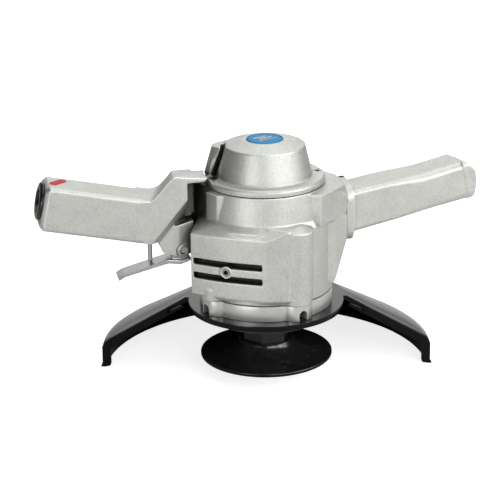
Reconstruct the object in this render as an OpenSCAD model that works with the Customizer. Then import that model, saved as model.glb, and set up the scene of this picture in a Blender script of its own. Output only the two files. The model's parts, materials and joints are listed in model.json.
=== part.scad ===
/* [Body] */
// Radius of the round part of the lower block
block_r = 52; // [51:0.5:54]
// Radius of the block's four screw lobes, from the spindle axis
lobe_reach = 58; // [57:0.5:59]
// Turn of the lower block from the line of the handles, in degrees
block_turn = -24; // [-30:1:-18]
// Height of the joint between the main casting and the lower ring
parting_z = 58; // [57:0.5:60]
// Height where the lower block ends and the cone begins
cone_z = 121; // [119:0.5:123]
// Height of the joint between the main casting and the cap
cap_z = 143; // [142:0.5:145]
// Height of the top of the cap at its rim
cap_top_z = 172; // [168:1:176]

/* [Handles] */
// Upward tilt of both handles, in degrees
handle_tilt = 12; // [8:1:15]
// Height where the handle axes meet the spindle axis
handle_z = 102; // [100:1:104]
// Depth of a grip from front to back
grip_w = 34; // [30:1:36]
// Height of the throttle handle's grip
grip_h = 34.5; // [32:0.5:35]
// Reach of the throttle handle along its axis
throttle_reach = 176.5; // [170:0.5:180]
// Reach of the support handle from the spindle axis
support_reach = 165.5; // [160:0.5:175]

/* [Throttle] */
// Height of the lever's pivot
pivot_z = 93.5; // [93:0.5:94]
// Distance of the plunger from the spindle axis
plunger_x = 91; // [90:0.5:92]
// Width of the lever's blade
lever_w = 16; // [14:1:18]
// Slope of the lever's blade below the horizontal, in degrees
lever_slope = 15; // [13:1:16]

/* [Guard and spindle] */
// Outside radius of the guard's skirt
guard_r = 131; // [125:1:135]
// Radius of the guard's centre plate
plate_r = 61; // [60:0.5:64]
// Height of the underside of the guard's centre plate
plate_z = 41.2; // [41:0.1:41.5]
// Depth of the skirt below the flange's face
skirt_drop = 13; // [8:1:15]
// Thickness of the guard's steel
guard_t = 3; // [2:0.5:4]
// Turn of the guard from the line of the handles, in degrees
guard_turn = -12; // [-20:1:0]
// Outside diameter of the backing flange
flange_d = 104; // [96:1:110]
// Size across the flats of the spindle's hexagon
spindle_af = 32; // [30:1:32]

/* [Motor] */
// Outside radius of the cylinder liner
liner_r = 37; // [36:0.5:37]
// Radius of the rotor
rotor_r = 27; // [26:0.5:27.5]
// Distance of the liner's bore from the spindle axis
liner_offset = 2.6; // [2:0.1:2.6]
// Number of vanes
vane_count = 5; // [4:1:6]

/* [Hidden] */
$fn = 96;

eps = 0.01;            // overlap that joins two shapes of one casting
run_gap = 0.3;         // gap between bodies that turn past each other
fit_gap = 0.03;        // radial clearance of a running fit
gasket_t = 0.6;        // thickness of the paper gaskets

lobe_angles = [-49, -131.5, 49, 131.5];   // in the block's own frame
lobe_r = 12;
lobe_c = lobe_reach - lobe_r;
lobe_lean = 2;         // outward lean of the casting's lobes, in degrees
lobe_tops = [117.5, 68, 117.5, 117.5];    // tops of the lobes' straight parts
screw_c = 51;          // distance of the ring's screws from the axis
notch_r = 3.4;         // radius of the notches for the heads of those screws

ring_z = 46;           // underside of the lower ring
spigot_z = 40.9;       // underside of the spigot that the guard turns on
spigot_r = 38;
guard_cut = 4;         // distance of the guard's cut edges from the axis
hem_w = 3.5;
clamp_z = 34;          // underside of the guard's clamp ring
clamp_r = 46;
clamp_bolt_c = 31;     // distance of the clamp ring's screws from the axis

lug_top_z = 141;       // top of the lugs on the cone
cone_r = 49;           // radius of the lower cone at its foot
shoulder_r = 46.3;     // radius of the cap's flange
flange_top_z = 148;    // top of the cap's flange
cap_foot_r = 36.5;
cap_rim_r = 31;
cap_dome = 4;          // rise of the cap's top from rim to centre
lobe_x = 37;           // distance of the cap's air lobe from the axis
groove_x = 41.2;       // distance of the groove beside that lobe from the axis, at its foot
groove_w = 3.4;
groove_turn = -12;     // turn of that groove from square to the handles
groove_lean = 18;

panel_top_z = 111;     // top edge of the exhaust panel
panel_foot_z = 63;     // below this the box tapers in to the joint
boss_foot_z = 66;      // foot of the support handle's boss
corner_top_z = 118.5;  // top of the facet between the panel and the next lobe
corner_end = [36, 6];  // far end of that facet, in the panel's frame
panel_angle = -99;     // direction that the exhaust panel faces, in the block's frame
panel_d = 50.5;        // distance of the panel's ends from the axis
panel_left = 42;       // length of the panel either side of its foot of perpendicular
panel_right = 20;
panel_bulge = 2.4;
slot_zs = [78.3, 89.6];
slot_h = 5;
slot_from = -40;       // ends of the slots along the panel
slot_to = 16;
exhaust_screw_z = 83.9;
exhaust_screw_x = -12.3;

motor_r = liner_r + 0.1;
motor_top_z = 134;
liner_bore_r = rotor_r + liner_offset + 0.6;
lower_plate_z = parting_z;
liner_z = 70;
upper_plate_z = 122;
upper_plate_top = 134;
dowel_angles = [147, 327];
dowel_c = 34.6;        // distance of the dowels from the axis
seat_r = 12.5;         // spindle radius at the lower bearing
upper_seat_r = 8.5;    // spindle radius at the upper bearing
rotor_seat_r = 11;

hex_z = 14;            // underside of the spindle's hexagon
hex_top_z = 33.5;
hex_turn = 7;          // turn of the hexagon from the line of the handles
nose_r = 7;            // M14 threaded nose
nose_end_z = -11;

neck_top_z = 155.8;    // highest point of the gooseneck, at its front edge
neck_fall = 10;        // fall of its flat top towards the back, in degrees
neck_face_x = 54;      // where the throttle handle meets the housing
support_face_x = 60;   // where the support handle meets the housing
port_z = 136;          // height of the air port from the throttle handle
port_y = 18.5;
port_r = 4.5;
neck_front_y = 12;     // front of the joint between the neck and the housing
neck_back_y = 26;
neck_skew = 17;        // turn of the neck's rise, whose back lies nearer the housing
passage_y = 6.5;       // air passage from the valve to the port
passage_z = 127;
grip_corner = 3.2;
grip_sink = 0.9;       // drop of the throttle grip's middle below its axis
pivot_x = 66;
pivot_r = 2.5;
lug_half = 9;          // half width of the casting's lever lug
fork_half = 4.2;       // half width of the slot between the lug's cheeks
tongue_half = 3.8;
blade_t = 2;
plunger_tip_z = 84;    // lowest point of the plunger
plunger_r = 1.7;
bush_z = 106;          // underside of the valve bush
valve_z = 113.4;       // underside of the throttle valve
valve_top_z = 131;     // top of the valve's bore
bush_lift = 1;         // height of the inlet above the grip's axis
lever_gap = 0.4;       // free play between the lever and the plunger
marker_x = 166;
marker_turn = 37;      // slant of the marker across the grip
marker_w = 5.6;
marker_l = 20;
bush_end = 3;          // how far the inlet bush stands out
inlet_r = 9.3;
inlet_depth = 15.2;
bolt_x = 48;           // inner end of the support handle's bolt, along its axis
bolt_head_x = 106;     // underside of that bolt's head
set_screw_x = 3.2;     // distance of the set screw from the housing
root_t = 6;            // thickness of the support handle's root flange
// sections of the support grip: distance along its axis, bottom, top, corner radius
grip_sections = [[64, -15.5, 17.6, 4], [100, -15.5, 16, 3.5], [128, -15.5, 14.4, 6],
                 [152, -15.5, 15, 6], [176, -15.5, 15.4, 6]];
end_turn = 13;         // turn of the support handle's end, whose back is shorter

// Places a child at each of a list of polar positions
module at_angles(angles, distance) {
    for (a = angles)
        rotate([0, 0, a]) translate([distance, 0, 0]) children();
}

// The right handle's frame: X along its axis, Z up and square to it
module right_side() {
    translate([0, 0, handle_z]) rotate([0, -handle_tilt, 0]) children();
}

// The same frame for the left handle, with X pointing left
module left_side() {
    mirror([1, 0, 0]) right_side() children();
}

module block_frame() {
    rotate([0, 0, block_turn]) children();
}

// The exhaust panel's frame: X along the panel, Y into the block, Z up
module panel_frame() {
    block_frame() rotate([0, 0, panel_angle + 90]) translate([0, -panel_d, 0]) children();
}

// A tube between two heights
module tube(outer, inner, z0, z1) {
    difference() {
        translate([0, 0, z0]) cylinder(r = outer, h = z1 - z0);
        translate([0, 0, z0 - 1]) cylinder(r = inner, h = z1 - z0 + 2);
    }
}

// A rod between two heights
module rod(radius, z0, z1) {
    translate([0, 0, z0]) cylinder(r = radius, h = z1 - z0);
}

// A rectangle with round corners, centred
module round_rect(w, h, r) {
    square([w - 2 * r, h], center = true);
    square([w, h - 2 * r], center = true);
    for (x = [-1, 1], y = [-1, 1])
        translate([x * (w / 2 - r), y * (h / 2 - r)]) circle(r = r);
}

// A socket screw that points down from its head's underside
module socket_screw(d, length, head_d, head_h, socket_af) {
    difference() {
        union() {
            translate([0, 0, -length]) cylinder(d = d, h = length + eps);
            cylinder(d = head_d, h = head_h);
        }
        translate([0, 0, head_h * 0.4]) cylinder(d = socket_af * 1.1547, h = head_h, $fn = 6);
    }
}

// A swept coil spring of round wire, with its axis on Z
function coil_point(r, turns, h, s) =
    [r * cos(360 * turns * s), r * sin(360 * turns * s), h * s];
function coil_ring(r, wire, turns, h, s, sides) = [
    for (k = [0:sides - 1])
        let (c = coil_point(r, turns, h, s), a = 360 * turns * s, b = 360 * k / sides)
        [c[0] + wire * cos(b) * cos(a), c[1] + wire * cos(b) * sin(a), c[2] + wire * sin(b)]];
module coil_spring(r, wire, turns, h) {
    sides = 8;
    rings = turns * 14;
    points = [for (i = [0:rings]) each coil_ring(r, wire, turns, h, i / rings, sides)];
    walls = [for (i = [0:rings - 1], k = [0:sides - 1])
        [i * sides + k, (i + 1) * sides + k,
         (i + 1) * sides + (k + 1) % sides, i * sides + (k + 1) % sides]];
    first = [for (k = [0:sides - 1]) k];
    last = [for (k = [0:sides - 1]) rings * sides + sides - 1 - k];
    polyhedron(points = points, faces = concat(walls, [first, last]));
}

// Plan of the lower block: a circle with four screw lobes
module block_plan(inset = 0) {
    circle(r = block_r - inset);
    for (a = lobe_angles)
        rotate(a) translate([lobe_c, 0]) circle(r = lobe_r - inset);
}

// Plan of the exhaust box in the panel's frame, with its bowed front edge
module panel_plan() {
    steps = 10;
    front = [for (i = [0:steps])
        let (u = i / steps)
        [-panel_left + u * (panel_left + panel_right), -panel_bulge * sin(180 * u)]];
    polygon(concat(front, [corner_end, [panel_right, 22], [-panel_left + 4, 30],
                           [-panel_left - 2, 18]]));
}

// The exhaust box: its panel, its taper down to the joint and its slope up to the cone
module exhaust_box() {
    hull() {
        panel_frame() {
            translate([0, 0, panel_foot_z]) linear_extrude(panel_top_z - panel_foot_z)
                panel_plan();
            translate([corner_end[0] - 1, corner_end[1], panel_top_z])
                cube([1, 1, corner_top_z - panel_top_z]);
        }
        block_frame() translate([0, 0, parting_z + gasket_t]) linear_extrude(1)
            intersection() {
                circle(r = block_r - 1, $fn = 48);
                translate([-block_r, -block_r]) square([block_r * 1.3, block_r]);
            }
        translate([0, 0, cone_z - 2]) cylinder(r = cone_r - 0.5, h = 1.5, $fn = 64);
    }
}

// The boss that carries the support handle on the right: its body, and its narrower top
// with a corner that stands out of the cone
module support_boss() {
    hull() {
        translate([support_face_x - 3, 0, 107]) rotate([0, 90, 0])
            linear_extrude(3) round_rect(28, 44, 9, $fn = 32);
        translate([34, -30, boss_foot_z]) cube([14, 58, cone_z - boss_foot_z - 1]);
    }
    hull() {
        translate([support_face_x - 3, 0, 126]) rotate([0, 90, 0])
            linear_extrude(3) round_rect(26, 42, 9, $fn = 32);
        translate([0, 0, cone_z - 4]) linear_extrude(lug_top_z - cone_z + 4)
            polygon([[20, -30], [26, -39.5], [33.4, -43.5], [44, -34], [44, 30], [20, 30]]);
    }
}

// The boss that carries the throttle handle on the left, behind the centre
module throttle_boss() {
    translate([0, 0, 104]) linear_extrude(38)
        polygon([[-30, -10], [-44, -10], [-46, -7], [-neck_face_x + gasket_t, neck_front_y],
                 [-neck_face_x + gasket_t, neck_back_y], [-30, neck_back_y]]);
}

// A flat-topped lug that stands out of the lower cone, with a slanted right side
module cone_lug() {
    rotate([0, 0, -153.3]) translate([0, 0, panel_top_z])
        linear_extrude(lug_top_z - panel_top_z)
            polygon([[20, -10.8], [49.3, -10.8], [49.3, 2.5], [43.5, 10.8], [20, 10.8]]);
}

// The block's leaning lobes, cut level at the joint
module casting_lobes() {
    block_frame() for (i = [0:3])
        rotate([0, 0, lobe_angles[i]]) translate([lobe_c, 0, 0]) intersection() {
            rotate([0, lobe_lean, 0]) rotate_extrude() polygon([
                [0, parting_z - 3], [lobe_r, parting_z - 3], [lobe_r, lobe_tops[i]],
                [4, lobe_tops[i] + 3.2], [0, lobe_tops[i] + 3.2]]);
            translate([-2 * lobe_r, -2 * lobe_r, parting_z + gasket_t]) cube([60, 60, 90]);
        }
}

module housing_outside() {
    top = cap_z - gasket_t;
    // block, chamfer and cone in one turned shape
    rotate_extrude() polygon([
        [0, parting_z + gasket_t], [block_r, parting_z + gasket_t], [block_r, cone_z - 5.4],
        [cone_r, cone_z], [shoulder_r, top], [0, top]]);
    casting_lobes();
    exhaust_box();
    support_boss();
    throttle_boss();
    cone_lug();
}

module exhaust_passage() {
    panel_frame() {
        // chamber behind the panel, open to the motor's bore
        translate([slot_from - 1, 5, slot_zs[0] - 5])
            cube([slot_to - slot_from + 2, 22, slot_zs[1] - slot_zs[0] + 10]);
        for (z = slot_zs)
            translate([slot_from, -panel_bulge - 2, z - slot_h / 2])
                cube([slot_to - slot_from, 12, slot_h]);
        translate([exhaust_screw_x, 0, exhaust_screw_z]) rotate([90, 0, 0])
            translate([0, 0, -6.5]) cylinder(d = 9, h = 16);
    }
}

// The raised collar round the exhaust screw, which bridges the slots
module screw_collar() {
    panel_frame() translate([exhaust_screw_x, 0, exhaust_screw_z]) rotate([90, 0, 0]) difference() {
        translate([0, 0, -6]) cylinder(d = 9.6, h = 9.1);
        translate([0, 0, -8]) cylinder(d = 5.2, h = 16);
        translate([0, 0, -2]) cylinder(d = 6.5, h = 8);
    }
}

module motor_housing() color("gainsboro") {
    screw_collar();
    difference() {
        housing_outside();
        rod(motor_r, parting_z - 1, motor_top_z + fit_gap);
        // top opening, with a ledge over the upper end plate
        rod(30, motor_top_z - 1, cap_z + 1);
        exhaust_passage();
        // air port from the throttle handle to the space under the cap
        translate([-neck_face_x - 1, port_y, port_z]) rotate([0, 90, 0])
            cylinder(r = port_r, h = 34);
        // holes for the ring's, the cap's and the handles' screws
        block_frame() at_angles(lobe_angles, screw_c) rod(2.5, parting_z - 1, parting_z + 15);
        for (side = [-1, 1])
            translate([side * 41.5, 0, 0]) rod(2.5, cap_z - 14, cap_z + 1);
        for (z = [112, 125])
            translate([-neck_face_x - 1, 21, z]) rotate([0, 90, 0]) cylinder(r = 2.5, h = 14);
        support_bolt_hole(bolt_x - 2, 30, 5);
    }
}

// A hole on the support handle's axis
module support_bolt_hole(from, length, r) {
    right_side() translate([from, 0, 0]) rotate([0, 90, 0]) cylinder(r = r, h = length);
}

module lobed_sheet(z0, thickness, inset) {
    difference() {
        block_frame() translate([0, 0, z0]) linear_extrude(thickness) block_plan(inset);
        rod(motor_r + 0.2, z0 - 1, z0 + thickness + 1);
        block_frame() at_angles(lobe_angles, screw_c) rod(2.7, z0 - 1, z0 + thickness + 1);
    }
}

module housing_gasket() color("dimgray") {
    lobed_sheet(parting_z, gasket_t, 1.2);
}

module bearing_housing() color("silver") {
    difference() {
        union() {
            block_frame() translate([0, 0, ring_z]) linear_extrude(parting_z - ring_z) block_plan();
            rod(spigot_r, spigot_z, ring_z + eps);
        }
        rod(26 + fit_gap / 3, 43, parting_z + 1);
        rod(20, spigot_z - 1, 44);
        block_frame() for (a = lobe_angles) rotate([0, 0, a]) {
            translate([screw_c, 0, 0]) rod(2.5, ring_z - 1, parting_z + 1);
            // arched notch that lets the screw's head in from the side
            translate([screw_c, -notch_r, ring_z - 1]) cube([12, 2 * notch_r, 5.8]);
            translate([screw_c, 0, ring_z - 1]) rod(notch_r, 0, 9.2);
            translate([screw_c, 0, ring_z + 4.8]) rotate([0, 90, 0])
                cylinder(r = notch_r, h = 12);
        }
        at_angles([45, 135, 225, 315], clamp_bolt_c) rod(2.1, spigot_z - 1, spigot_z + 11);
    }
}

module bearing_housing_screws() color([0.12, 0.12, 0.12]) {
    block_frame() at_angles(lobe_angles, screw_c) translate([0, 0, ring_z + 8.2])
        rotate([180, 0, 0]) socket_screw(4.96, 15, 2 * notch_r - 0.6, 5, 3.4);
}

// Plan of the cap's round skirt with its air lobe on the left
module cap_solid(foot_r, rim_r, z0, z1, lobe_foot, lobe_rim) {
    translate([0, 0, z0]) cylinder(r1 = foot_r, r2 = rim_r, h = z1 - z0);
    hull() {
        translate([0, 0, z0]) cylinder(r = foot_r - 4, h = 0.5, $fn = 48);
        translate([0, 0, z1 - 0.5]) cylinder(r = rim_r - 3, h = 0.5, $fn = 48);
        translate([-lobe_x + 4, 12, z0]) cylinder(r = lobe_foot, h = 0.5, $fn = 32);
        translate([-lobe_x + 8, 11, z1 - 2.5]) cylinder(r = lobe_rim, h = 0.5, $fn = 32);
    }
}

module cap() color("gainsboro") {
    difference() {
        union() {
            rotate_extrude() polygon([
                [0, cap_z], [shoulder_r, cap_z], [shoulder_r, flange_top_z - 1.5],
                [shoulder_r - 1.5, flange_top_z], [0, flange_top_z]]);
            cap_solid(cap_foot_r, cap_rim_r, flange_top_z - eps, cap_top_z, 12, 10);
            // gently crowned top
            translate([0, 0, cap_top_z - eps]) cylinder(r1 = cap_rim_r, r2 = 17, h = cap_dome);
        }
        rod(29, cap_z - 1, cap_z + 6);
        translate([0, 0, cap_z + 5.9]) cylinder(r1 = 29, r2 = 25, h = cap_top_z - cap_z - 9);
        // round pockets that let the screws in from above
        for (side = [-1, 1]) {
            translate([side * 41.5, 0, 0]) rod(5.4, flange_top_z - eps, cap_top_z + 8);
            translate([side * 41.5, 0, 0]) rod(4.6, cap_z + 1.6, flange_top_z + 1);
            translate([side * 41.5, 0, 0]) rod(2.7, cap_z - 1, flange_top_z + 1);
        }
        rod(14.3, cap_top_z + cap_dome - 0.8, cap_top_z + cap_dome + 1);
        // deep groove between the round skirt and the air lobe
        rotate([0, 0, groove_turn]) translate([-groove_x, -40, flange_top_z - eps])
            rotate([0, groove_lean, 0]) cube([groove_w, 45, 40]);
    }
}

module cap_gasket() color("dimgray") {
    difference() {
        rod(shoulder_r - 0.3, cap_z - gasket_t, cap_z);
        rod(30, cap_z - 1, cap_z + 1);
        for (side = [-1, 1])
            translate([side * 41.5, 0, 0]) rod(2.7, cap_z - 1, cap_z + 1);
    }
}

module cap_screws() color("silver") {
    for (side = [-1, 1])
        translate([side * 41.5, 0, cap_z + 1.6]) socket_screw(4.96, 12, 8.5, 3, 3.4);
}

module cap_badge() color("steelblue") {
    difference() {
        rod(14.1, cap_top_z + cap_dome - 0.8, cap_top_z + cap_dome + 0.5);
        tube(12.9, 12.1, cap_top_z + cap_dome + 0.2, cap_top_z + cap_dome + 1);
    }
}

module exhaust_silencer() color("dimgray") {
    panel_frame() difference() {
        translate([slot_from - 0.7, 6.4, slot_zs[0] - 4.6])
            cube([slot_to - slot_from + 1.4, 4, slot_zs[1] - slot_zs[0] + 9.2]);
        translate([exhaust_screw_x, 0, exhaust_screw_z]) rotate([90, 0, 0])
            cylinder(r = 2.5, h = 30, center = true);
        // rows of vent holes behind each slot
        for (z = slot_zs, i = [0:7])
            if (abs(slot_from + 3.5 + i * 6 - exhaust_screw_x) > 5)
                translate([slot_from + 3.5 + i * 6, 0, z]) rotate([90, 0, 0])
                    cylinder(r = 1.4, h = 30, center = true);
    }
}

module exhaust_screw() color("silver") {
    panel_frame() translate([exhaust_screw_x, 2, exhaust_screw_z]) rotate([90, 0, 0])
        socket_screw(4.96, 8.4, 6.2, 4.8, 3.6);
}

// Side view of the gooseneck as X and Z, mirrored to the left by its user
module neck_profile() {
    polygon([[30, 104], [30, neck_top_z - 6.5], [54, neck_top_z - 3.5], [66, neck_top_z - 1.2],
             [72.5, neck_top_z], [75, 155], [78, 152.4], [81, 149], [84, 145.2],
             [87, 141.6], [89.5, 139.2], [92, 138], [98, 138.2], [120, 142.6], [120, 109.4], [98, 104.8],
             [84, 102.2], [64, 104]]);
}

// Plan of the gooseneck, whose top reaches on to the rim of the cap
module neck_plan() {
    polygon([[98, -grip_w / 2], [66, -grip_w / 2], [neck_face_x, -14], [44, -12], [44, 14],
             [neck_face_x, 14], [neck_face_x, neck_back_y], [76, neck_back_y - 1],
             [86, grip_w / 2], [98, grip_w / 2]]);
}

// A block under or over a plane that falls to the back with the gooseneck's top
module neck_slab(x, z, width, depth, low, high) {
    translate([x, -grip_w / 2, z]) rotate([-neck_fall, 0, 0])
        translate([0, -10, low]) cube([width, depth + 10, high - low]);
}

// The gooseneck in the mirrored frame, undercut below its front face
module neck() {
    difference() {
        intersection() {
            translate([84, -grip_w / 2, 0]) rotate([0, 0, neck_skew]) translate([-84, 60, 0])
                rotate([90, 0, 0]) linear_extrude(100) neck_profile();
            translate([0, 0, 90]) linear_extrude(70) neck_plan();
        }
        neck_slab(30, neck_top_z, 80, 70, 0, 30);
        // deep pocket between the neck and the housing, under the flat top
        neck_slab(40, neck_top_z - 6, 23.5, 29, -80, 0);
        // room for the housing's boss and for the cap
        neck_slab(30, neck_top_z - 6, neck_face_x - 30, 60, -80, 0);
        rod(shoulder_r + 1.3, 90, 170);
        translate([84, -grip_w / 2, 113]) rotate([0, 0, 45]) rotate([0, 59.5, 0])
            translate([-60, -60, -40]) cube([120, 120, 40]);
    }
}

// The lug for the lever's pivot, in the mirrored frame
module lever_lug() {
    intersection() {
        translate([0, 20, 0]) rotate([90, 0, 0]) linear_extrude(40)
            polygon([[57.5, 117], [57.5, 92], [60, 90.4], [74, 90.4], [82, 93.2], [84.5, 99],
                     [86, 112]]);
        translate([0, 0, 80]) linear_extrude(40)
            polygon([[90, -lug_half], [70, -lug_half], [57.5, -6], [57.5, lug_half], [90, lug_half]]);
    }
}

module throttle_handle_outside() {
    left_side() translate([92, 0, -grip_sink]) rotate([90, 0, 90])
        linear_extrude(throttle_reach - 92 - 3) round_rect(grip_w, grip_h, grip_corner);
    // chamfered outer end
    left_side() hull() {
        translate([throttle_reach - 3.01, 0, -grip_sink]) rotate([90, 0, 90])
            linear_extrude(0.01) round_rect(grip_w, grip_h, grip_corner, $fn = 32);
        translate([throttle_reach - 0.01, 0, -grip_sink]) rotate([90, 0, 90])
            linear_extrude(0.01) round_rect(grip_w - 5, grip_h - 5, grip_corner, $fn = 32);
    }
    mirror([1, 0, 0]) {
        neck();
        lever_lug();
    }
}

module throttle_handle() color("gainsboro") {
    difference() {
        throttle_handle_outside();
        // air passage along the grip, with the inlet bush's seat at its end
        left_side() {
            translate([84, 0, 0]) rotate([0, 90, 0]) cylinder(r = 8, h = throttle_reach - 105);
            translate([throttle_reach - 22, 0, bush_lift]) rotate([0, 90, 0])
                cylinder(r = 12, h = 30);
        }
        // upright bore of the throttle valve
        translate([-plunger_x, 0, 0]) rod(7, 100, valve_top_z + fit_gap);
        // passage from the valve to the housing's port
        translate([-plunger_x, passage_y, passage_z]) rotate([0, 90, 0])
            cylinder(r = 4.5, h = 29);
        translate([-66, port_y, port_z]) rotate([0, 90, 0]) cylinder(r = port_r, h = 20);
        translate([-65, passage_y, passage_z]) rotate([-53, 0, 0]) cylinder(r = 4, h = 15);
        // slot between the lug's cheeks
        translate([-90, -fork_half, 80]) cube([40, 2 * fork_half, 22]);
        // pivot pin with a groove round its end, fixing screws and marker pocket
        translate([-pivot_x, 0, pivot_z]) rotate([90, 0, 0]) {
            cylinder(r = pivot_r, h = 60, center = true);
            tube(6, 4.6, lug_half - 1.6, lug_half + 2);
        }
        for (z = [112, 125])
            translate([-100, 21, z]) rotate([0, 90, 0]) {
                cylinder(r = 2.7, h = 60);
                cylinder(r = 4.4, h = 33);
            }
        marker_place() linear_extrude(2) marker_plan(marker_w + 0.1, marker_l + 0.1);
    }
}

// The floor of the marker's pocket, slanted across the grip's top
module marker_place() {
    left_side() translate([marker_x, 2.5, grip_h / 2 - grip_sink - 0.6])
        rotate([0, 0, marker_turn]) children();
}

// The red marker's plan, an oblong with round ends
module marker_plan(width, length) {
    for (side = [-1, 1])
        translate([0, side * (length - width) / 2]) circle(d = width);
    square([width, length - width], center = true);
}

module handle_gasket() color("dimgray") {
    translate([-neck_face_x, 0, 0]) difference() {
        translate([0, neck_front_y, 104]) cube([gasket_t, neck_back_y - neck_front_y, 38.4]);
        translate([-1, port_y, port_z]) rotate([0, 90, 0]) cylinder(r = port_r, h = 4);
        for (z = [112, 125])
            translate([-1, 21, z]) rotate([0, 90, 0]) cylinder(r = 2.7, h = 4);
    }
}

module throttle_handle_screws() color([0.12, 0.12, 0.12]) {
    for (z = [112, 125])
        translate([-67, 21, z]) rotate([0, -90, 0]) socket_screw(4.96, 25, 8.4, 5, 4);
}

module inlet_bush() color([0.08, 0.08, 0.08]) {
    left_side() translate([throttle_reach, 0, bush_lift]) rotate([0, 90, 0]) difference() {
        translate([0, 0, -20]) rotate_extrude() polygon([
            [0, 0], [11.9, 0], [11.9, 20.2], [14.6, 20.2], [14.6, 21.2], [13.8, 22.4],
            [12.2, 20 + bush_end], [0, 20 + bush_end]]);
        translate([0, 0, -21]) cylinder(r = 7.5, h = 30);
        translate([0, 0, bush_end - inlet_depth]) cylinder(r = inlet_r, h = 20);
    }
}

module inlet_strainer() color("silver") {
    left_side() translate([throttle_reach - 26, 0, 0]) rotate([0, 90, 0]) difference() {
        cylinder(r = 7.97, h = 5);
        translate([0, 0, 1]) cylinder(r = 6.6, h = 5);
        for (x = [-4:2.5:4], y = [-4:2.5:4])
            translate([x, y, -1]) cylinder(r = 0.8, h = 3, $fn = 16);
    }
}

module inlet_marker() color("crimson") {
    marker_place() linear_extrude(0.9) marker_plan(marker_w, marker_l);
}

module valve_bush() color("goldenrod") {
    translate([-plunger_x, 0, 0]) difference() {
        rod(6.97, bush_z, valve_z - 0.4);
        rod(plunger_r + 0.05, bush_z - 1, 111);
        rod(3.4, 109.5, 114);
    }
}

module throttle_plunger() color("silver") {
    translate([-plunger_x, 0, 0]) {
        rod(plunger_r, plunger_tip_z + plunger_r, valve_z);
        translate([0, 0, plunger_tip_z + plunger_r]) sphere(r = plunger_r);
    }
}

module throttle_valve() color("dimgray") {
    translate([-plunger_x, 0, 0]) {
        rod(5.6, valve_z, valve_z + 3);
        rod(1.8, valve_z + 3, valve_z + 6);
    }
}

module valve_spring() color("silver") {
    translate([-plunger_x, 0, valve_z + 3.6])
        coil_spring(3.4, 0.5, 5, valve_top_z - valve_z - 4.2);
}

// Height of the lever blade's upper face at a distance from the spindle axis
function blade_z(x) = plunger_tip_z - lever_gap - (x - plunger_x) * tan(lever_slope);

// The lever: a long blade, a dished root under the lug and a tongue between its cheeks
module throttle_lever() color("silver") {
    root = blade_z(78);
    mirror([1, 0, 0]) difference() {
        union() {
            translate([0, lever_w / 2, 0]) rotate([90, 0, 0]) linear_extrude(lever_w)
                polygon([[60.5, root - 1.6], [60.5, root + 0.4], [68, root - 1.6], [78, root],
                         [112, blade_z(112)], [117, blade_z(117) - 1.5],
                         [116.5, blade_z(117) - 1.5 - blade_t], [111.5, blade_z(112) - blade_t],
                         [78, root - blade_t - 1], [68, root - blade_t - 2.4]]);
            translate([0, tongue_half, 0]) rotate([90, 0, 0]) linear_extrude(2 * tongue_half)
                union() {
                    translate([pivot_x, pivot_z]) circle(r = 4.6);
                    polygon([[62, root - 2], [62, pivot_z], [70, pivot_z], [76, root - 2]]);
                }
        }
        translate([pivot_x, 0, pivot_z]) rotate([90, 0, 0])
            cylinder(r = pivot_r + 0.05, h = 40, center = true);
    }
}

module lever_pin() color("silver") {
    translate([-pivot_x, 0, pivot_z]) rotate([90, 0, 0])
        cylinder(r = pivot_r - 0.01, h = 2 * lug_half - 5, center = true);
}

// One section of the support grip as a ring of points, a rectangle with round corners
function grip_ring(spec, sides) = [
    for (k = [0:sides - 1])
        let (a = 360 * (k + 0.5) / sides, r = spec[3], h = (spec[2] - spec[1]) / 2)
        [spec[0],
         sign(cos(a)) * (grip_w / 2 - r) + r * cos(a),
         (spec[1] + spec[2]) / 2 + sign(sin(a)) * (h - r) + r * sin(a)]];

// The support grip, lofted through its sections
module support_grip() {
    sides = 24;
    last = len(grip_sections) - 1;
    points = [for (spec = grip_sections) each grip_ring(spec, sides)];
    walls = [for (i = [0:last - 1], k = [0:sides - 1])
        let (a = i * sides + k, b = i * sides + (k + 1) % sides) each [
            [a, b + sides, b], [a, a + sides, b + sides]]];
    first = [for (k = [0:sides - 1]) k];
    end = [for (k = [0:sides - 1]) last * sides + sides - 1 - k];
    polyhedron(points = points, faces = concat(walls, [first, end]));
}

// Side view of the support handle's end as X and Z, with its rounded top
module end_profile(reach) {
    polygon([[-100, 60], [reach - 2.5, 60], [reach - 2.5, 119], [reach - 1, 124], [reach, 134],
             [reach - 1, 143], [reach - 3.5, 146.5], [reach - 7.5, 150], [-100, 175]]);
}

// Trims a child to the end's outline, which is turned so that its back is shorter
module trim_end(reach) {
    intersection() {
        children();
        translate([reach, -grip_w / 2, 0]) rotate([0, 0, end_turn]) translate([-reach, 80, 0])
            rotate([90, 0, 0]) linear_extrude(140) end_profile(reach);
    }
}

module support_handle() color("gainsboro") {
    difference() {
        union() {
            trim_end(support_reach - 1) right_side() support_grip();
            // root flange against the housing
            translate([support_face_x, 0, 116]) rotate([0, 90, 0])
                linear_extrude(root_t) round_rect(45, 42, 12);
            // thin raised lip round the outer end
            trim_end(support_reach) right_side() translate([160, 0, 0.6]) rotate([90, 0, 90])
                linear_extrude(16) round_rect(grip_w + 1, 33.6, 7);
        }
        translate([support_face_x - 60, -60, 60]) cube([60, 120, 120]);
        support_bolt_hole(56, 80, 5.2);
        support_bolt_hole(bolt_head_x, 80, 8.5);
        translate([support_face_x + set_screw_x, 9, 125]) rod(2, 0, 20);
    }
}

module support_handle_bolt() color("silver") {
    right_side() translate([bolt_head_x, 0, 0]) rotate([0, 90, 0])
        socket_screw(9.9, bolt_head_x - bolt_x, 15, 6, 8);
}

module handle_set_screw() color([0.12, 0.12, 0.12]) {
    translate([support_face_x + set_screw_x, 9, 128]) difference() {
        cylinder(r = 1.95, h = 10.5);
        translate([0, 0, 8.6]) cylinder(d = 2.4, h = 3, $fn = 6);
    }
}

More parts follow.
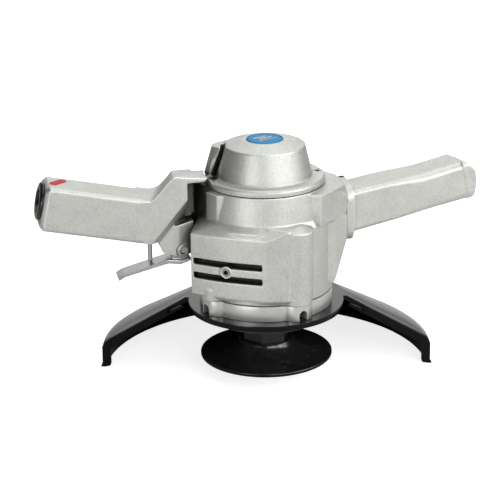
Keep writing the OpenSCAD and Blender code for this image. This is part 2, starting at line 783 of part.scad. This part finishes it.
module wheel_guard() color([0.1, 0.1, 0.1]) {
    top = plate_z + 4.5;
    foot = -skirt_drop;
    rotate([0, 0, guard_turn]) {
        tube(plate_r, spigot_r + fit_gap, plate_z, top);
        intersection() {
            rotate_extrude($fn = 180) polygon([
                [plate_r - 4, plate_z + 0.4], [plate_r - 4, top], [plate_r + 3, top],
                [guard_r - 6, 11.4], [guard_r - 1.5, 8.2], [guard_r, 4],
                [guard_r, foot + 3], [guard_r + 1.6, foot], [guard_r - guard_t, foot],
                [guard_r - guard_t, 3], [guard_r - 7.5, 8], [plate_r + 2, plate_z + 0.4]]);
            translate([-200, guard_cut, -60]) cube([400, 200, 160]);
        }
        // thick hem along the cut edges
        intersection() {
            rotate_extrude($fn = 180) polygon([
                [plate_r + 6, plate_z - 2], [guard_r - 5, 10.6], [guard_r - 0.4, 4],
                [guard_r - 0.4, foot + 2], [guard_r - 1.5, foot + 0.4], [guard_r - 5.5, foot + 0.4],
                [guard_r - 6.8, foot + 2.2], [guard_r - 6.8, 1], [guard_r - 10.5, 6],
                [plate_r + 4, plate_z - 4]]);
            translate([-200, guard_cut, -60]) cube([400, hem_w, 160]);
        }
    }
}

module guard_clamp_ring() color("dimgray") {
    difference() {
        rod(clamp_r, clamp_z, spigot_z);
        rod(17.5, clamp_z - 1, spigot_z + 1);
        rod(21.5, clamp_z + 2, spigot_z + 1);
        at_angles([45, 135, 225, 315], clamp_bolt_c) {
            rod(2.7, clamp_z - 1, spigot_z + 1);
            rod(4.4, clamp_z - 1, clamp_z + 4.4);
        }
    }
}

module guard_clamp_screws() color([0.12, 0.12, 0.12]) {
    at_angles([45, 135, 225, 315], clamp_bolt_c) translate([0, 0, clamp_z + 4.4])
        rotate([180, 0, 0]) socket_screw(4.16, 12, 8, 4, 3.4);
}

module spindle_seal() color("tan") {
    tube(21.4, 15.55, clamp_z + 2, spigot_z - 0.2);
}

// A ball bearing: outer race, inner race and balls between them
module ball_bearing(outer, inner, z0, height, balls) {
    wall = (outer - inner) * 0.28;
    mid = (outer + inner) / 2;
    tube(outer, outer - wall, z0, z0 + height);
    tube(inner + wall, inner + fit_gap, z0, z0 + height);
    at_angles([for (i = [0:balls - 1]) 360 * i / balls], mid)
        translate([0, 0, z0 + height / 2]) sphere(r = (mid - inner - wall) - 0.05, $fn = 24);
}

module lower_bearing() color("silver") {
    ball_bearing(26, seat_r, 43, 15, 9);
}

module lower_end_plate() color("dimgray") {
    difference() {
        rod(liner_r, lower_plate_z, liner_z);
        rod(rotor_seat_r + 2, lower_plate_z - 1, liner_z + 1);
        rod(25, lower_plate_z - 1, lower_plate_z + 3);
        dowel_holes(lower_plate_z - 1, liner_z + 1);
    }
}

// Holes of the two dowels that line the motor up
module dowel_holes(z0, z1) {
    at_angles(dowel_angles, dowel_c) rod(1.55, z0, z1);
}

module cylinder_liner() color("dimgray") {
    difference() {
        rod(liner_r, liner_z, upper_plate_z);
        block_frame() rotate([0, 0, panel_angle + 180]) translate([liner_offset, 0, 0])
            rod(liner_bore_r, liner_z - 1, upper_plate_z + 1);
        dowel_holes(liner_z - 1, upper_plate_z + 1);
        // exhaust ports towards the panel
        panel_frame() for (i = [-2:2])
            translate([-10 + 7 * i, 0, 76]) cube([4, 40, 16]);
    }
}

module rotor() color("slategray") {
    difference() {
        rod(rotor_r, liner_z + run_gap, upper_plate_z - run_gap);
        rod(rotor_seat_r, liner_z - 1, upper_plate_z + 1);
        for (i = [0:vane_count - 1]) rotate([0, 0, 360 * i / vane_count + 20])
            translate([rotor_r - 11, -1.7, liner_z - 1]) cube([20, 3.4, 60]);
        translate([rotor_seat_r - 2, -2.5, liner_z - 1]) cube([4.2, 5, 60]);
    }
}

module rotor_key() color("silver") {
    translate([rotor_seat_r - 1.9, -2.45, liner_z + 6]) cube([4, 4.9, 40]);
}

module vanes() color("saddlebrown") {
    for (i = [0:vane_count - 1]) rotate([0, 0, 360 * i / vane_count + 20])
        translate([rotor_r - 10.6, -1.6, liner_z + 0.5])
            cube([10.5, 3.2, upper_plate_z - liner_z - 1]);
}

module motor_dowels() color("silver") {
    at_angles(dowel_angles, dowel_c) rod(1.5, lower_plate_z + 1, upper_plate_z + 6);
}

module upper_end_plate() color("dimgray") {
    difference() {
        rod(liner_r, upper_plate_z, upper_plate_top);
        rod(rotor_seat_r + 2, upper_plate_z - 1, upper_plate_z + 4);
        rod(20 + fit_gap / 3, upper_plate_z + 2, upper_plate_top + 1);
        dowel_holes(upper_plate_z - 1, upper_plate_z + 7);
    }
}

module upper_bearing() color("silver") {
    ball_bearing(20, upper_seat_r, upper_plate_z + 2, 12, 8);
}

module spindle() color("silver") {
    difference() {
        union() {
            rod(nose_r, nose_end_z, 3);
            rod(11, 2, hex_z + 1);
            rotate([0, 0, hex_turn]) translate([0, 0, hex_z])
                cylinder(d = spindle_af / cos(30), h = hex_top_z - hex_z, $fn = 6);
            rod(15.5, hex_top_z - 1, 42.7);
            rod(seat_r, 42, 62);
            rod(rotor_seat_r, 61, upper_plate_z + 2);
            rod(upper_seat_r, upper_plate_z + 1, 142);
            rod(6, 141, 164);
        }
        translate([rotor_seat_r - 2, -2.5, liner_z + 6]) cube([4, 5, 40]);
    }
}

module spindle_nut() color("dimgray") {
    difference() {
        translate([0, 0, 136.2]) cylinder(d = 26, h = 5.5, $fn = 6);
        rod(upper_seat_r, 136, 142);
    }
}

module governor_hub() color("goldenrod") {
    difference() {
        union() {
            rod(17, 142.2, 145.2);
            rod(9, 145, 149);
            for (a = [90, 270]) rotate([0, 0, a]) translate([12, -3, 144]) cube([3.5, 6, 9]);
        }
        rod(6, 142, 150);
    }
}

module governor_weights() color("slategray") {
    for (a = [0, 180]) rotate([0, 0, a]) difference() {
        translate([0, 0, 150]) rotate([0, 0, -58]) rotate_extrude(angle = 116)
            translate([10.5, 0]) square([9, 9]);
        translate([0, 0, 149]) cylinder(r = 10.6, h = 4);
    }
}

module governor_spring() color("silver") {
    translate([0, 0, 149.8]) coil_spring(7.2, 0.7, 4, 11);
}

module backing_flange() color([0.08, 0.08, 0.08]) {
    rim = flange_d / 2;
    difference() {
        rotate_extrude() polygon([
            [0, 2], [33, 2], [35, 0], [rim - 0.4, 0], [rim, 0.4], [rim, 2.3], [rim - 0.6, 2.8],
            [rim - 4, 2.8], [40, 3.6], [33, 5], [28, 6.8], [24.5, 9], [22.2, 11.4],
            [21, hex_z], [0, hex_z]]);
        rod(11, -1, hex_z + 1);
    }
}

motor_housing();
housing_gasket();
bearing_housing();
bearing_housing_screws();
cap();
cap_gasket();
cap_screws();
cap_badge();
exhaust_silencer();
exhaust_screw();
throttle_handle();
handle_gasket();
throttle_handle_screws();
inlet_bush();
inlet_strainer();
inlet_marker();
valve_bush();
throttle_valve();
throttle_plunger();
valve_spring();
throttle_lever();
lever_pin();
support_handle();
support_handle_bolt();
handle_set_screw();
wheel_guard();
guard_clamp_ring();
guard_clamp_screws();
spindle_seal();
lower_bearing();
lower_end_plate();
cylinder_liner();
rotor();
rotor_key();
vanes();
motor_dowels();
upper_end_plate();
upper_bearing();
spindle();
spindle_nut();
governor_hub();
governor_weights();
governor_spring();
backing_flange();
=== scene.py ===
"""Looks of an air-driven vertical grinder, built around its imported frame. Metres, +Z up."""
import json
import math

import bmesh
import bpy
from mathutils import Matrix, Vector


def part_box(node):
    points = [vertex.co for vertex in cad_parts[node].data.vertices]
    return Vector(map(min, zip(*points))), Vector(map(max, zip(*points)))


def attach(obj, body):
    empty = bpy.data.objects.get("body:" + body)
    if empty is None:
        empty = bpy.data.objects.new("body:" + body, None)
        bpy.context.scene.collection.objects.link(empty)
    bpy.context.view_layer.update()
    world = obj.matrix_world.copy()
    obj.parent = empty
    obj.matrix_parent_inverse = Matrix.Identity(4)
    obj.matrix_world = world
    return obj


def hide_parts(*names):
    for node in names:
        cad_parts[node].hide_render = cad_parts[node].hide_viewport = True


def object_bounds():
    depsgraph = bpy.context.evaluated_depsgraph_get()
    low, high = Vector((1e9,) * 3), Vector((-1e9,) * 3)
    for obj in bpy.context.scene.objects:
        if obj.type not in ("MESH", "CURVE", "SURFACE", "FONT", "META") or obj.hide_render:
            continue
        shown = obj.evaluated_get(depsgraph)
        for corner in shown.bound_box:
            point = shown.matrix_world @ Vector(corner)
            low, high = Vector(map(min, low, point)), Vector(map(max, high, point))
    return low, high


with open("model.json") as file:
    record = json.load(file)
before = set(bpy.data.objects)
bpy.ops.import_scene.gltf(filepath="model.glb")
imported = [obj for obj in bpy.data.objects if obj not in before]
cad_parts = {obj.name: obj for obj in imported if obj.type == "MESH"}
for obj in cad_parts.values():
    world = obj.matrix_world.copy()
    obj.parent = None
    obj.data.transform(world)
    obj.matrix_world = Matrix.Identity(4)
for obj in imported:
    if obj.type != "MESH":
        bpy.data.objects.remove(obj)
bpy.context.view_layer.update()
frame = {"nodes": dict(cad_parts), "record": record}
nodes = frame["nodes"]
scene = bpy.context.scene
MM = 0.001

# ---------------------------------------------------------------- camera and stage

VIEW_AZIMUTH = math.radians(-12)
VIEW_PITCH = math.radians(19.45)
VIEW_ROLL = math.radians(-0.65)
VIEW_DISTANCE = 1.404
VIEW_TARGET = Vector((-0.01184, 0.00252, 0.086))
LENS = 129.6
SENSOR = 36
FLOOR_GLOW = 0.8
WORLD_GLOW = 0.03


def make_camera():
    back = Vector((math.sin(VIEW_AZIMUTH) * math.cos(VIEW_PITCH),
                   -math.cos(VIEW_AZIMUTH) * math.cos(VIEW_PITCH),
                   math.sin(VIEW_PITCH)))
    camera = bpy.data.objects.new("view_camera", bpy.data.cameras.new("view_camera"))
    camera.data.lens = LENS
    camera.data.sensor_width = SENSOR
    camera.data.clip_start = 0.05
    camera.location = VIEW_TARGET + back * VIEW_DISTANCE
    turn = (-back).to_track_quat("-Z", "Y").to_matrix() @ Matrix.Rotation(VIEW_ROLL, 3, "Z")
    camera.rotation_euler = turn.to_euler()
    scene.collection.objects.link(camera)
    scene.camera = camera


def area_light(name, azimuth, elevation, distance, size, power):
    """A white softbox that faces the tool; its azimuth is counted from the camera's side."""
    a = VIEW_AZIMUTH + math.radians(azimuth)
    e = math.radians(elevation)
    back = Vector((math.sin(a) * math.cos(e), -math.cos(a) * math.cos(e), math.sin(e)))
    light = bpy.data.objects.new(name, bpy.data.lights.new(name, "AREA"))
    light.data.shape = "RECTANGLE"
    light.data.size = size[0]
    light.data.size_y = size[1]
    light.data.energy = power
    light.location = VIEW_TARGET + back * distance
    light.rotation_euler = (-back).to_track_quat("-Z", "Y").to_euler()
    scene.collection.objects.link(light)


def make_lights():
    world = bpy.data.worlds.new("studio")
    world.use_nodes = True
    background = world.node_tree.nodes["Background"]
    background.inputs["Color"].default_value = (1.0, 1.0, 1.0, 1)
    background.inputs["Strength"].default_value = WORLD_GLOW
    scene.world = world
    area_light("overhead", 0, 85, 1.2, (1.0, 1.0), 5.5)
    area_light("high_back", 170, 60, 1.2, (1.0, 1.0), 4.1)
    area_light("backdrop", 180, 22, 1.6, (2.0, 1.2), 5.8)
    area_light("front_right", 20, 25, 1.1, (0.5, 0.5), 3.4)
    area_light("key", 48, 25, 1.0, (0.6, 0.5), 2.8)
    area_light("side_key", 75, 30, 1.0, (0.6, 0.6), 4.6)
    area_light("low_left", -32, 8, 1.2, (0.5, 0.4), 4.2)


def make_floor():
    """A pale floor that bends up behind the tool into a backdrop."""
    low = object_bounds()[0][2]
    half = 4.0
    back_y = 2.2
    bend = 1.0
    rise = 3.0
    steps = 12
    profile = [(-half, low), (back_y - bend, low)]
    for i in range(1, steps + 1):
        a = math.pi / 2 * i / steps
        profile.append((back_y - bend + bend * math.sin(a), low + bend - bend * math.cos(a)))
    profile.append((back_y, low + rise))
    mesh = bpy.data.meshes.new("floor")
    bm = bmesh.new()
    rows = [[bm.verts.new((x, y, z)) for y, z in profile] for x in (-half, half)]
    for i in range(len(profile) - 1):
        bm.faces.new((rows[0][i], rows[1][i], rows[1][i + 1], rows[0][i + 1]))
    bm.to_mesh(mesh)
    bm.free()
    for face in mesh.polygons:
        face.use_smooth = True
    floor = bpy.data.objects.new("floor", mesh)
    scene.collection.objects.link(floor)
    material = bpy.data.materials.new("pale_floor")
    material.use_nodes = True
    tree = material.node_tree
    shader = tree.nodes["Principled BSDF"]
    shader.inputs["Base Color"].default_value = (0.6, 0.6, 0.6, 1)
    shader.inputs["Roughness"].default_value = 0.9
    shader.inputs["Specular IOR Level"].default_value = 0.1
    # the sweep looks overexposed, as a lit backdrop does, and casts no light of its own
    glow = tree.nodes.new("ShaderNodeMath")
    glow.operation = "MULTIPLY"
    glow.inputs[1].default_value = FLOOR_GLOW
    tree.links.new(tree.nodes.new("ShaderNodeLightPath").outputs["Is Camera Ray"],
                   glow.inputs[0])
    tree.links.new(glow.outputs[0], shader.inputs["Emission Strength"])
    shader.inputs["Emission Color"].default_value = (1, 1, 1, 1)
    mesh.materials.append(material)


# ---------------------------------------------------------------- materials

class Surface:
    """A node-based material, with short ways to add noise, bumps and colour changes."""

    def __init__(self, name, **sockets):
        self.material = bpy.data.materials.new(name)
        self.material.use_nodes = True
        self.tree = self.material.node_tree
        self.shader = self.tree.nodes["Principled BSDF"]
        self.place = self.tree.nodes.new("ShaderNodeTexCoord").outputs["Object"]
        self.last_bump = None
        for socket, value in sockets.items():
            self.shader.inputs[socket.replace("_", " ")].default_value = value

    def add(self, kind, **settings):
        node = self.tree.nodes.new(kind)
        for key, value in settings.items():
            setattr(node, key, value)
        return node

    def link(self, source, target):
        self.tree.links.new(source, target)

    def noise(self, size, detail=2.0, rough=0.5, stretch=(1, 1, 1)):
        """Noise whose grains are about size metres across."""
        mapping = self.add("ShaderNodeMapping")
        mapping.inputs["Scale"].default_value = stretch
        self.link(self.place, mapping.inputs["Vector"])
        node = self.add("ShaderNodeTexNoise")
        node.inputs["Scale"].default_value = 1 / size
        node.inputs["Detail"].default_value = detail
        node.inputs["Roughness"].default_value = rough
        self.link(mapping.outputs["Vector"], node.inputs["Vector"])
        return node.outputs["Fac"]

    def ramp(self, source, low, high, at=(0.3, 0.7)):
        """Maps a value onto a grey or colour range."""
        node = self.add("ShaderNodeMapRange")
        node.inputs["From Min"].default_value = at[0]
        node.inputs["From Max"].default_value = at[1]
        node.inputs["To Min"].default_value = low
        node.inputs["To Max"].default_value = high
        self.link(source, node.inputs["Value"])
        return node.outputs["Result"]

    def mix(self, share, first, second, how="MIX"):
        node = self.add("ShaderNodeMix", data_type="RGBA", blend_type=how)
        for value, socket in ((share, node.inputs[0]), (first, node.inputs[6]),
                              (second, node.inputs[7])):
            if isinstance(value, bpy.types.NodeSocket):
                self.link(value, socket)
            else:
                socket.default_value = value
        return node.outputs[2]

    def bump(self, height, strength, depth):
        node = self.add("ShaderNodeBump")
        node.inputs["Strength"].default_value = strength
        node.inputs["Distance"].default_value = depth
        self.link(height, node.inputs["Height"])
        if self.last_bump:
            self.link(self.last_bump, node.inputs["Normal"])
        self.last_bump = node.outputs["Normal"]
        self.link(self.last_bump, self.shader.inputs["Normal"])

    def edges(self):
        """1 along convex edges, 0 elsewhere."""
        geometry = self.add("ShaderNodeNewGeometry")
        return self.ramp(geometry.outputs["Pointiness"], 0.0, 1.0, (0.51, 0.56))

    def recess_shade(self, reach):
        """1 deep inside corners and pockets of about this size, 0 on open surfaces; a mask for
        painted shade.
        """
        node = self.add("ShaderNodeAmbientOcclusion", samples=8)
        node.inputs["Distance"].default_value = reach
        return self.ramp(node.outputs["AO"], 1.0, 0.0, (0.25, 0.75))

    def facing_up(self):
        """0 on upright and hanging faces, 1 on faces that look upwards."""
        parts = self.add("ShaderNodeSeparateXYZ")
        self.link(self.add("ShaderNodeNewGeometry").outputs["Normal"], parts.inputs[0])
        return self.ramp(parts.outputs["Z"], 0.0, 1.0, (0.1, 0.5))

    def colour(self, source):
        self.link(source, self.shader.inputs["Base Color"])

    def roughness(self, source):
        self.link(source, self.shader.inputs["Roughness"])


def grey(value, warmth=0.0):
    return (value * (1 - warmth / 4), value, value * (1 - warmth), 1)


def cast_aluminium():
    """Sand-cast: gritty grain, pits and blotches, with a painted highlight along convex edges
    and painted shade in the pockets.
    """
    s = Surface("cast_aluminium", Metallic=0.85, Specular_IOR_Level=0.5)
    grain = s.noise(1.5 * MM, 4.0, 0.7)
    pits = s.noise(1.0 * MM, 2.0, 0.6)
    blotch = s.noise(14 * MM, 3.0, 0.6)
    tone = s.mix(s.ramp(blotch, 0.0, 1.0), grey(0.52, 0.06), grey(0.60, 0.06))
    tone = s.mix(s.ramp(grain, 0.0, 0.5, (0.42, 0.62)), tone, grey(0.72, 0.05))
    tone = s.mix(s.ramp(pits, 0.0, 0.5, (0.56, 0.70)), tone, grey(0.30, 0.06))
    # painted highlight: convex edges are lighter
    tone = s.mix(s.edges(), tone, grey(0.80, 0.04))
    # painted shade: corners and pockets within 30 mm turn nearly black
    s.colour(s.mix(s.recess_shade(30 * MM), tone, grey(0.06, 0.1)))
    s.roughness(s.ramp(grain, 0.44, 0.58))
    s.bump(grain, 0.5, 0.22 * MM)
    s.bump(pits, 0.35, 0.10 * MM)
    return s.material


def machined_aluminium():
    s = Surface("machined_aluminium", Metallic=0.75)
    fine = s.noise(0.4 * MM, 2.0, 0.5, (1, 1, 6))
    blotch = s.noise(9 * MM, 2.0)
    s.colour(s.mix(s.ramp(blotch, 0.0, 1.0), grey(0.56, 0.06), grey(0.62, 0.05)))
    s.roughness(s.ramp(fine, 0.34, 0.48))
    s.bump(fine, 0.2, 0.05 * MM)
    return s.material


def black_paint(name, rough, peel):
    """Gloss paint with a faint orange peel and a little dust; its upright and hanging faces
    are darker as painted shade, and have less specular and coat.
    """
    s = Surface(name, Coat_Roughness=0.06)
    dust = s.noise(6 * MM, 4.0, 0.7)
    paint = s.mix(s.ramp(dust, 0.0, 1.0, (0.5, 0.8)), grey(0.010), grey(0.03))
    up = s.facing_up()
    # painted shade: upright and hanging faces are darker than the faces that look up
    s.colour(s.mix(up, grey(0.004), paint))
    s.link(s.ramp(up, 0.12, 0.6, (0.0, 1.0)), s.shader.inputs["Specular IOR Level"])
    s.link(s.ramp(up, 0.0, 0.35, (0.0, 1.0)), s.shader.inputs["Coat Weight"])
    s.roughness(s.ramp(dust, rough, rough + 0.08))
    s.bump(s.noise(1.8 * MM, 2.0), peel, 0.05 * MM)
    return s.material


def black_oxide():
    s = Surface("black_oxide", Metallic=0.4)
    speck = s.noise(0.5 * MM, 2.0)
    s.colour(s.mix(s.ramp(speck, 0.0, 1.0), grey(0.012), grey(0.04)))
    s.roughness(s.ramp(speck, 0.32, 0.5))
    s.bump(speck, 0.2, 0.03 * MM)
    return s.material


def steel(name, tone, rough, along=(1, 1, 1)):
    """Plated or ground steel with fine marks along one direction."""
    s = Surface(name, Metallic=1.0)
    marks = s.noise(0.5 * MM, 3.0, 0.6, along)
    stain = s.noise(8 * MM, 2.0)
    metal = s.mix(s.ramp(stain, 0.0, 1.0), grey(tone), grey(tone * 1.2))
    # painted shade: sockets and pockets within 5 mm turn nearly black
    s.colour(s.mix(s.recess_shade(5 * MM), metal, grey(0.03)))
    s.roughness(s.ramp(marks, rough, rough + 0.12))
    s.bump(marks, 0.12, 0.02 * MM)
    return s.material


def brass():
    s = Surface("brass", Metallic=1.0)
    marks = s.noise(0.5 * MM, 3.0, 0.6, (1, 1, 8))
    s.colour(s.mix(s.ramp(marks, 0.0, 1.0), (0.62, 0.42, 0.16, 1), (0.76, 0.56, 0.26, 1)))
    s.roughness(s.ramp(marks, 0.25, 0.4))
    return s.material


def plain_stuff(name, dark, light, rough, grain, depth, **sockets):
    """A matt or moulded stuff whose colour and roughness vary a little."""
    s = Surface(name, **sockets)
    speck = s.noise(grain, 3.0, 0.6)
    s.colour(s.mix(s.ramp(speck, 0.0, 1.0), dark, light))
    s.roughness(s.ramp(speck, rough, rough + 0.1))
    s.bump(speck, 0.3, depth)
    return s.material


def make_materials():
    return {
        "cast_aluminium": cast_aluminium(),
        "machined_aluminium": machined_aluminium(),
        "black_guard_paint": black_paint("black_guard_paint", 0.17, 0.3),
        "black_flange": black_paint("black_flange", 0.2, 0.08),
        "black_oxide": black_oxide(),
        "bright_steel": steel("bright_steel", 0.42, 0.24, (1, 1, 5)),
        "ground_steel": steel("ground_steel", 0.5, 0.22, (1, 1, 8)),
        "spring_steel": steel("spring_steel", 0.45, 0.28),
        "iron": plain_stuff("iron", grey(0.10), grey(0.18), 0.4, 0.6 * MM, 0.04 * MM,
                            Metallic=0.9),
        "brass": brass(),
        "gasket_paper": plain_stuff("gasket_paper", grey(0.03), grey(0.06), 0.8,
                                    0.5 * MM, 0.04 * MM),
        "felt": plain_stuff("felt", (0.30, 0.26, 0.2, 1), (0.45, 0.4, 0.3, 1), 0.9,
                            0.4 * MM, 0.2 * MM, Sheen_Weight=0.4),
        "vane_resin": plain_stuff("vane_resin", (0.22, 0.12, 0.05, 1),
                                  (0.34, 0.2, 0.1, 1), 0.5, 0.5 * MM, 0.03 * MM),
        "black_bush": plain_stuff("black_bush", grey(0.006), grey(0.014), 0.22,
                                  0.8 * MM, 0.02 * MM),
        "badge_blue": plain_stuff("badge_blue", (0.010, 0.19, 0.42, 1),
                                  (0.016, 0.24, 0.50, 1), 0.45, 2 * MM, 0.01 * MM,
                                  Specular_IOR_Level=0.25),
        "marker_red": plain_stuff("marker_red", (0.42, 0.02, 0.03, 1),
                                  (0.55, 0.04, 0.05, 1), 0.5, 1 * MM, 0.01 * MM,
                                  Specular_IOR_Level=0.2),
    }


def paint_nodes(materials):
    """Every carried-over CAD node gets its slot's procedural material."""
    for row in frame["record"]["subparts"]:
        piece = nodes[row["node"]]
        material = materials[row["material_slot"]]
        if not piece.material_slots:
            piece.data.materials.append(material)
        for place in piece.material_slots:
            place.link = "OBJECT"
            place.material = material


# ---------------------------------------------------------------- edges of the CAD nodes

def soften_casting(name, voxel, passes):
    """Rounds every edge of a casting, as a sand mould leaves it."""
    piece = nodes[name]
    remesh = piece.modifiers.new("grain", "REMESH")
    remesh.mode = "VOXEL"
    remesh.voxel_size = voxel
    remesh.use_smooth_shade = True
    smooth = piece.modifiers.new("rounding", "SMOOTH")
    smooth.factor = 0.5
    smooth.iterations = passes


def break_edges(name, width):
    """A small chamfer on the sharp edges of a machined or pressed piece."""
    piece = nodes[name]
    weld = piece.modifiers.new("join", "WELD")
    weld.merge_threshold = 0.001 * MM
    bevel = piece.modifiers.new("edge_break", "BEVEL")
    bevel.width = width
    bevel.segments = 2
    bevel.limit_method = "ANGLE"
    bevel.angle_limit = math.radians(35)
    bevel.harden_normals = False
    bevel.use_clamp_overlap = True


def shape_nodes():
    for name, voxel, passes in (("motor_housing", 0.6 * MM, 4), ("cap", 0.55 * MM, 3),
                                ("throttle_handle", 0.6 * MM, 5),
                                ("support_handle", 0.6 * MM, 5)):
        soften_casting(name, voxel, passes)
    for name, width in (("wheel_guard", 0.5 * MM), ("backing_flange", 0.3 * MM),
                        ("bearing_housing", 0.4 * MM), ("throttle_lever", 0.4 * MM),
                        ("spindle", 0.3 * MM), ("inlet_bush", 0.3 * MM)):
        break_edges(name, width)


def add_piece(name, bm, slot, body):
    """Makes a named piece of a finished bmesh, riding on a body."""
    mesh = bpy.data.meshes.new(name)
    bmesh.ops.recalc_face_normals(bm, faces=bm.faces)
    bm.to_mesh(mesh)
    bm.free()
    piece = bpy.data.objects.new(name, mesh)
    scene.collection.objects.link(piece)
    mesh.materials.append(materials[slot])
    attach(piece, body)
    return piece


def prism(name, outline, low, high, slot, body):
    """A flat piece with the given outline between two heights."""
    bm = bmesh.new()
    lower = [bm.verts.new((x, y, low)) for x, y in outline]
    upper = [bm.verts.new((x, y, high)) for x, y in outline]
    bm.faces.new(lower[::-1])
    bm.faces.new(upper)
    for i in range(len(outline)):
        j = (i + 1) % len(outline)
        bm.faces.new((lower[i], lower[j], upper[j], upper[i]))
    return add_piece(name, bm, slot, body)


def turned(name, profile, centre, slot, body, sides=96):
    """A closed piece turned about the upright line through centre, from (radius, z) points."""
    bm = bmesh.new()
    rings = []
    for radius, z in profile:
        rings.append([bm.verts.new((centre.x + radius * math.cos(math.tau * k / sides),
                                    centre.y + radius * math.sin(math.tau * k / sides), z))
                      for k in range(sides)])
    for first, second in zip(rings, rings[1:]):
        for k in range(sides):
            n = (k + 1) % sides
            bm.faces.new((first[k], first[n], second[n], second[k]))
    bm.faces.new(rings[0])
    bm.faces.new(rings[-1])
    return add_piece(name, bm, slot, body)


# The badge's bars as shares of its radius: across, up, half length, half width
BADGE_BARS = ((-0.12, 0.30, 0.42, 0.10), (0.08, 0.02, 0.42, 0.10), (0.0, -0.28, 0.60, 0.05))
BADGE_TURN = math.radians(24)
BAR_SLANT = 0.08


def make_badge():
    """The badge: a rim and a groove round a sunken face, and a plain mark of three bars."""
    low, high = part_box("cap_badge")
    centre = (low + high) / 2
    radius = (high.x - low.x) / 2
    chamfer = 0.25 * MM
    face = high.z - 0.16 * MM
    groove_floor = face - 0.4 * MM
    disc = turned("badge_disc", (
        (radius, low.z), (radius, high.z - chamfer), (radius - chamfer, high.z),
        (radius * 0.96, high.z), (radius * 0.955, groove_floor),
        (radius * 0.91, groove_floor), (radius * 0.905, face), (radius * 0.2, face)),
        centre, "badge_blue", "housing")
    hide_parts("cap_badge")
    for i, (across, up, half_length, half_width) in enumerate(BADGE_BARS):
        corners = []
        for x, y in ((-1, -1), (1, -1), (1, 1), (-1, 1)):
            px = (across + x * half_length + BAR_SLANT * y) * radius
            py = (up + y * half_width) * radius
            corners.append((centre.x + px * math.cos(BADGE_TURN) - py * math.sin(BADGE_TURN),
                            centre.y + px * math.sin(BADGE_TURN) + py * math.cos(BADGE_TURN)))
        prism("badge_bar_%d" % (i + 1), corners, face - 0.05 * MM, high.z, "bright_steel",
              "housing")


make_camera()
materials = make_materials()
paint_nodes(materials)
shape_nodes()
make_badge()
make_floor()
make_lights()
scene.view_settings.view_transform = "Standard"
